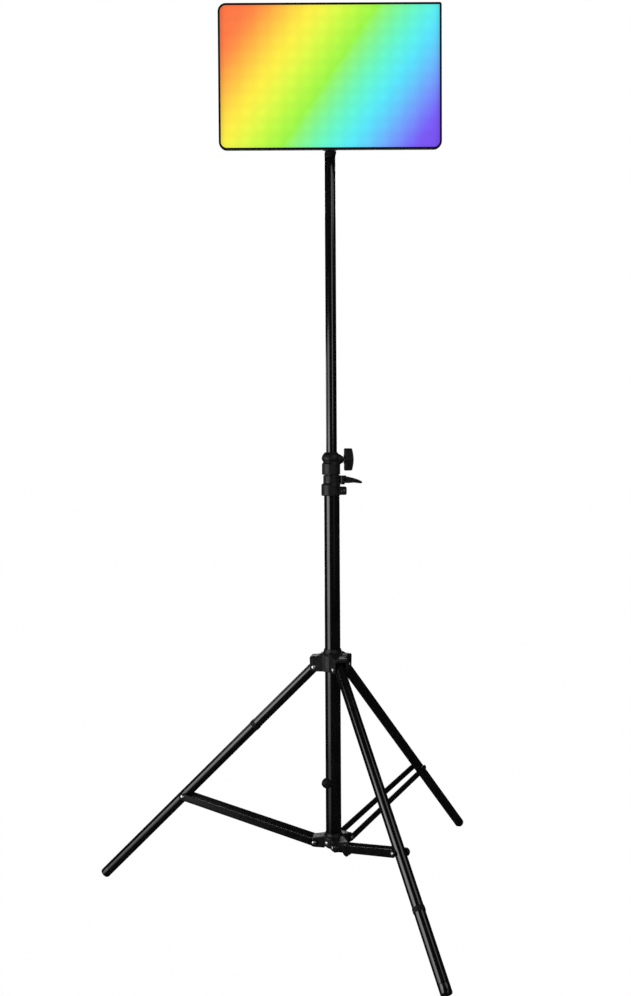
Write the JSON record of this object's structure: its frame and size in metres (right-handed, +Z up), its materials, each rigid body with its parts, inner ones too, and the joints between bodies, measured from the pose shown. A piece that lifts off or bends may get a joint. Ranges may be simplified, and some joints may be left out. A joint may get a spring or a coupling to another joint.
{
  "type": "led panel light",
  "caption": "Slim rectangular LED panel light with a glowing rainbow diffuser, on a telescopic black mast with a folding three-legged braced stand.",
  "frame": {"origin": "centre of the flat underside of the column end cap, on the mast axis; the floor is 65.8 mm below it", "axes": "+Z up along the mast; the lit face looks along -Y; +X to the right as the viewer sees the lit face"},
  "size_m": [0.6148, 0.649, 1.3404],
  "materials": {
    "tube_black": "gloss black enamel on steel tube",
    "strip_black": "satin black enamel on flat steel strip",
    "cast_plastic": "moulded black plastic, light sheen",
    "knob_plastic": "moulded black plastic grip",
    "rivet_steel": "bright plated rivet",
    "screw_steel": "plain steel screw",
    "foot_rubber": "matte black rubber",
    "foot_plastic": "gloss black plastic, flush with the tube",
    "bezel_plastic": "satin black plastic rim",
    "shell_plastic": "fine-textured black plastic",
    "diffuser_glow": "milky diffuser, lit from behind in a rainbow",
    "board_white": "white circuit board with emitters",
    "board_green": "green circuit board",
    "display_dark": "dark display window",
    "button_grey": "dark grey push button",
    "latch_red": "red release button",
    "battery_plastic": "black battery case"
  },
  "bodies": {
    "column": {"lower_tube": "tube_black", "column_end_cap": "foot_rubber", "base_spider": "cast_plastic", "spider_fixing_rivet": "rivet_steel", "travel_stop": "foot_rubber", "lower_collar": "cast_plastic", "collar_clamp_screw": "screw_steel", "brace_a_root_pin": "rivet_steel", "brace_b_root_pin": "rivet_steel", "brace_c_root_pin": "rivet_steel"},
    "leg_hub": {"leg_hub": "cast_plastic", "leg_a_hinge_rivet": "rivet_steel", "leg_b_hinge_rivet": "rivet_steel", "leg_c_hinge_rivet": "rivet_steel"},
    "hub_lock_knob": {"hub_lock_knob": "knob_plastic"},
    "leg_a": {"leg_a_tube": "tube_black", "leg_a_foot": "foot_plastic", "leg_a_band": "foot_rubber"},
    "leg_b": {"leg_b_tube": "tube_black", "leg_b_foot": "foot_plastic"},
    "leg_c": {"leg_c_tube": "tube_black", "leg_c_foot": "foot_plastic", "leg_c_band": "foot_rubber"},
    "lower_collar_lever": {"lower_collar_lever": "knob_plastic"},
    "middle_mast": {"middle_tube": "tube_black", "middle_collar": "cast_plastic"},
    "middle_collar_knob": {"middle_collar_knob": "knob_plastic"},
    "upper_mast": {"upper_tube": "tube_black", "mast_top_cap": "cast_plastic"},
    "swivel_base": {"swivel_base": "cast_plastic"},
    "pan_lock_knob": {"pan_lock_knob": "knob_plastic"},
    "panel": {"tilt_bracket": "cast_plastic", "bracket_screw_left": "screw_steel", "bracket_screw_right": "screw_steel", "tilt_bolt": "screw_steel", "front_bezel": "bezel_plastic", "diffuser": "diffuser_glow", "rear_housing": "shell_plastic", "led_board": "board_white", "control_board": "board_green", "display_window": "display_dark", "dc_socket": "button_grey", "battery_plate": "cast_plastic"},
    "tilt_lock_knob": {"tilt_lock_knob": "knob_plastic"},
    "power_button": {"power_button": "button_grey"},
    "mode_button": {"mode_button": "button_grey"},
    "brightness_dial": {"brightness_dial": "knob_plastic"},
    "colour_dial": {"colour_dial": "knob_plastic"},
    "battery_pack": {"battery_pack": "battery_plastic"},
    "battery_latch": {"battery_latch": "latch_red"},
    "brace_a": {"brace_a_strip_left": "strip_black", "brace_a_strip_right": "strip_black", "brace_a_leg_rivet": "rivet_steel"},
    "brace_b": {"brace_b_strip_left": "strip_black", "brace_b_strip_right": "strip_black", "brace_b_leg_rivet": "strip_black"},
    "brace_c": {"brace_c_strip_left": "strip_black", "brace_c_strip_right": "strip_black", "brace_c_leg_rivet": "rivet_steel"}
  },
  "joints": [
    {"name": "fold_hub_slide", "type": "slide", "parent": "column", "child": "leg_hub", "axis": [0, 0, 1], "range_m": [0, 0.236]},
    {"name": "leg_a_fold", "type": "hinge", "parent": "leg_hub", "child": "leg_a", "pos_m": [-0.02794, 0.00448, 0.2826], "axis": [-0.1582, -0.9874, 0], "range_deg": [0, 36.1]},
    {"name": "brace_a_fold", "type": "hinge", "parent": "column", "child": "brace_a", "pos_m": [-0.02864, 0.00459, 0.0095], "axis": [0.1582, 0.9874, 0], "range_deg": [0, 61.6]},
    {"name": "leg_b_fold", "type": "hinge", "parent": "leg_hub", "child": "leg_b", "pos_m": [0.01785, 0.02196, 0.2826], "axis": [-0.776, 0.6307, 0], "range_deg": [0, 36.1]},
    {"name": "brace_b_fold", "type": "hinge", "parent": "column", "child": "brace_b", "pos_m": [0.01829, 0.02251, 0.0095], "axis": [0.776, -0.6307, 0], "range_deg": [0, 61.6]},
    {"name": "leg_c_fold", "type": "hinge", "parent": "leg_hub", "child": "leg_c", "pos_m": [0.0101, -0.02644, 0.2826], "axis": [0.9342, 0.3567, 0], "range_deg": [0, 36.1]},
    {"name": "brace_c_fold", "type": "hinge", "parent": "column", "child": "brace_c", "pos_m": [0.01035, -0.02709, 0.0095], "axis": [-0.9342, -0.3567, 0], "range_deg": [0, 61.6]},
    {"name": "hub_lock_knob_turn", "type": "hinge", "parent": "leg_hub", "child": "hub_lock_knob", "pos_m": [0, 0, 0.2982], "axis": [0.8192, -0.5736, 0], "continuous": true},
    {"name": "middle_mast_slide", "type": "slide", "parent": "column", "child": "middle_mast", "axis": [0, 0, 1], "range_m": [0, 0.43]},
    {"name": "middle_collar_knob_turn", "type": "hinge", "parent": "middle_mast", "child": "middle_collar_knob", "pos_m": [0, 0, 0.6026], "axis": [1, 0, 0], "continuous": true},
    {"name": "lower_collar_lever_swing", "type": "hinge", "parent": "column", "child": "lower_collar_lever", "pos_m": [0.0171, -0.0025, 0.5713], "axis": [0, 0, 1], "range_deg": [0, 92]},
    {"name": "upper_mast_slide", "type": "slide", "parent": "middle_mast", "child": "upper_mast", "axis": [0, 0, 1], "range_m": [-0.43, 0.02]},
    {"name": "panel_pan", "type": "hinge", "parent": "upper_mast", "child": "swivel_base", "pos_m": [0, 0, 1.084], "axis": [0, 0, 1], "continuous": true},
    {"name": "pan_lock_knob_turn", "type": "hinge", "parent": "swivel_base", "child": "pan_lock_knob", "pos_m": [0, 0, 1.084], "axis": [0, 1, 0], "continuous": true},
    {"name": "panel_tilt", "type": "hinge", "parent": "swivel_base", "child": "panel", "pos_m": [0, 0, 1.112], "axis": [1, 0, 0], "range_deg": [-90, 24]},
    {"name": "tilt_lock_knob_turn", "type": "hinge", "parent": "panel", "child": "tilt_lock_knob", "pos_m": [0, 0, 1.112], "axis": [1, 0, 0], "continuous": true},
    {"name": "power_button_press", "type": "slide", "parent": "panel", "child": "power_button", "axis": [0, -1, 0], "range_m": [0, 0.0012]},
    {"name": "mode_button_press", "type": "slide", "parent": "panel", "child": "mode_button", "axis": [0, -1, 0], "range_m": [0, 0.0012]},
    {"name": "brightness_dial_turn", "type": "hinge", "parent": "panel", "child": "brightness_dial", "pos_m": [0.062, -0.025, 1.14], "axis": [0, 1, 0], "range_deg": [-140, 140]},
    {"name": "colour_dial_turn", "type": "hinge", "parent": "panel", "child": "colour_dial", "pos_m": [0.092, -0.025, 1.14], "axis": [0, 1, 0], "range_deg": [-140, 140]},
    {"name": "battery_slide_off", "type": "slide", "parent": "panel", "child": "battery_pack", "axis": [0, 0, 1], "range_m": [0, 0.062]},
    {"name": "battery_latch_press", "type": "slide", "parent": "panel", "child": "battery_latch", "axis": [0, -1, 0], "range_m": [0, 0.001]}
  ],
  "couplings": [
    {"joint": "leg_a_fold", "follows": "fold_hub_slide", "rad_per_m": 2.6557},
    {"joint": "brace_a_fold", "follows": "fold_hub_slide", "rad_per_m": 4.5366},
    {"joint": "leg_b_fold", "follows": "fold_hub_slide", "rad_per_m": 2.6557},
    {"joint": "brace_b_fold", "follows": "fold_hub_slide", "rad_per_m": 4.5366},
    {"joint": "leg_c_fold", "follows": "fold_hub_slide", "rad_per_m": 2.6557},
    {"joint": "brace_c_fold", "follows": "fold_hub_slide", "rad_per_m": 4.5366}
  ]
}
